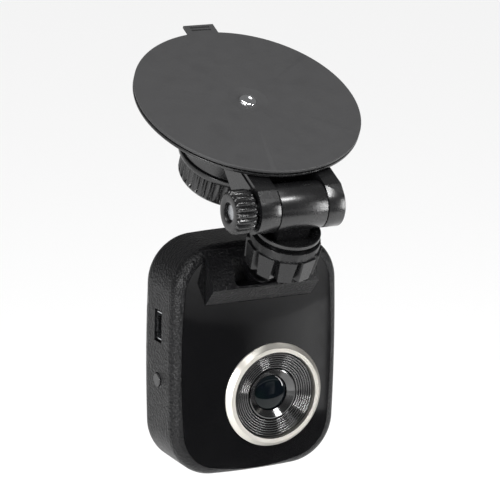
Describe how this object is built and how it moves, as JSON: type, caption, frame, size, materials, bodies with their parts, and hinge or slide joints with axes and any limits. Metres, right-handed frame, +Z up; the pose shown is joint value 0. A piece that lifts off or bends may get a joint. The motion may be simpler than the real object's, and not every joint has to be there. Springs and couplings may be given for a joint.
{
  "type": "dash camera",
  "caption": "Small dash camera with a front lens and rear screen, hung by a ball joint and a clamped hinge arm from a twist-lock suction mount.",
  "frame": {"origin": "centre of the suction face", "axes": "+X to the right of a viewer who faces the lens, -Y the way the lens looks, +Z up"},
  "size_m": [0.062, 0.0643, 0.1172],
  "materials": {
    "rubber": "moulded black rubber, matte",
    "mount_plastic": "moulded black plastic with a satin surface",
    "nut_plastic": "moulded dark grey plastic",
    "seat_plastic": "natural acetal",
    "stud_steel": "blackened steel",
    "rivet_chrome": "polished plated steel",
    "steel": "zinc-plated steel",
    "brass": "knurled brass",
    "case_plastic": "black ABS with a fine spark-eroded texture",
    "panel_gloss": "piano-black acrylic",
    "window": "dark clear window",
    "glass": "coated optical glass",
    "lens_black": "black moulded plastic",
    "ring_silver": "spun aluminium, warm silver",
    "socket_steel": "tinned steel shell",
    "button_plastic": "black moulded plastic",
    "board_green": "glass-epoxy board with green solder mask",
    "component": "moulded component body",
    "card_plastic": "black memory card",
    "foil": "laminated foil pouch",
    "display": "display module with a metal frame"
  },
  "bodies": {
    "mount_base": {"suction_pad": "rubber", "cup_shell": "mount_plastic", "yoke": "mount_plastic", "yoke_screws": "steel", "hinge_bolt": "steel"},
    "lock_knob": {"lock_knob": "mount_plastic"},
    "draw_rod": {"draw_rod": "rivet_chrome", "cross_pin": "steel"},
    "thumb_knob": {"thumb_knob": "mount_plastic"},
    "arm": {"arm": "mount_plastic"},
    "ring_nut": {"ring_nut": "nut_plastic"},
    "ball_seat": {"ball_seat": "seat_plastic"},
    "ball_stud": {"ball_stud": "stud_steel"},
    "camera": {"thread_insert": "brass", "main_housing": "case_plastic", "front_panel": "panel_gloss", "rear_cover": "case_plastic", "screen_window": "window", "display_module": "display", "main_board": "board_green", "sensor_board": "board_green", "board_connector": "component", "image_sensor": "component", "processor": "component", "memory_chip": "component", "rear_switches": "component", "side_switch": "component", "usb_socket": "socket_steel", "usb_tongue": "button_plastic", "card_socket": "socket_steel", "battery": "foil", "speaker": "component", "microphone": "component", "case_screws": "steel", "board_screws": "steel", "lens_ring": "ring_silver", "lens_hood": "lens_black", "lens_barrel": "lens_black", "lens_front": "glass", "lens_rear": "glass", "lens_holder": "lens_black"},
    "memory_card": {"memory_card": "card_plastic"},
    "side_button": {"side_button": "button_plastic"},
    "rear_button_1": {"rear_button_1": "button_plastic"},
    "rear_button_2": {"rear_button_2": "button_plastic"},
    "rear_button_3": {"rear_button_3": "button_plastic"},
    "rear_button_4": {"rear_button_4": "button_plastic"}
  },
  "joints": [
    {"name": "lock_turn", "type": "hinge", "parent": "mount_base", "child": "lock_knob", "pos_m": [0, 0, 0], "axis": [0, -0.4399, 0.898], "range_deg": [0, 120]},
    {"name": "rod_draw", "type": "slide", "parent": "mount_base", "child": "draw_rod", "axis": [0, 0.4399, -0.898], "range_m": [0, 0.0024]},
    {"name": "clamp_turn", "type": "hinge", "parent": "mount_base", "child": "thumb_knob", "pos_m": [0, -0.02662, -0.0234], "axis": [1, 0, 0], "continuous": true},
    {"name": "arm_swing", "type": "hinge", "parent": "mount_base", "child": "arm", "pos_m": [0, -0.02662, -0.0234], "axis": [1, 0, 0], "range_deg": [-90, 6]},
    {"name": "nut_turn", "type": "hinge", "parent": "arm", "child": "ring_nut", "pos_m": [0, -0.02096, -0.03674], "axis": [0, -0.3907, 0.9205], "continuous": true},
    {"name": "ball_pan", "type": "hinge", "parent": "arm", "child": "ball_seat", "pos_m": [0, -0.02096, -0.03674], "axis": [0, -0.3907, 0.9205], "continuous": true},
    {"name": "ball_tilt", "type": "hinge", "parent": "ball_seat", "child": "ball_stud", "pos_m": [0, -0.02096, -0.03674], "axis": [1, 0, 0], "range_deg": [-66, 0]},
    {"name": "stud_twist", "type": "hinge", "parent": "ball_stud", "child": "camera", "pos_m": [0, -0.02096, -0.03674], "axis": [0, -0.8387, 0.5446], "range_deg": [-30, 30]},
    {"name": "card_slide", "type": "slide", "parent": "camera", "child": "memory_card", "axis": [1, 0, 0], "range_m": [0, 0.012]},
    {"name": "side_press", "type": "slide", "parent": "camera", "child": "side_button", "axis": [1, 0, 0], "range_m": [0, 0.0004], "stiffness_N_per_m": 400},
    {"name": "rear_press_1", "type": "slide", "parent": "camera", "child": "rear_button_1", "axis": [0, -1, 0], "range_m": [0, 0.0004], "stiffness_N_per_m": 400},
    {"name": "rear_press_2", "type": "slide", "parent": "camera", "child": "rear_button_2", "axis": [0, -1, 0], "range_m": [0, 0.0004], "stiffness_N_per_m": 400},
    {"name": "rear_press_3", "type": "slide", "parent": "camera", "child": "rear_button_3", "axis": [0, -1, 0], "range_m": [0, 0.0004], "stiffness_N_per_m": 400},
    {"name": "rear_press_4", "type": "slide", "parent": "camera", "child": "rear_button_4", "axis": [0, -1, 0], "range_m": [0, 0.0004], "stiffness_N_per_m": 400}
  ],
  "couplings": [
    {"joint": "rod_draw", "follows": "lock_turn", "m_per_rad": 0.0011459}
  ]
}
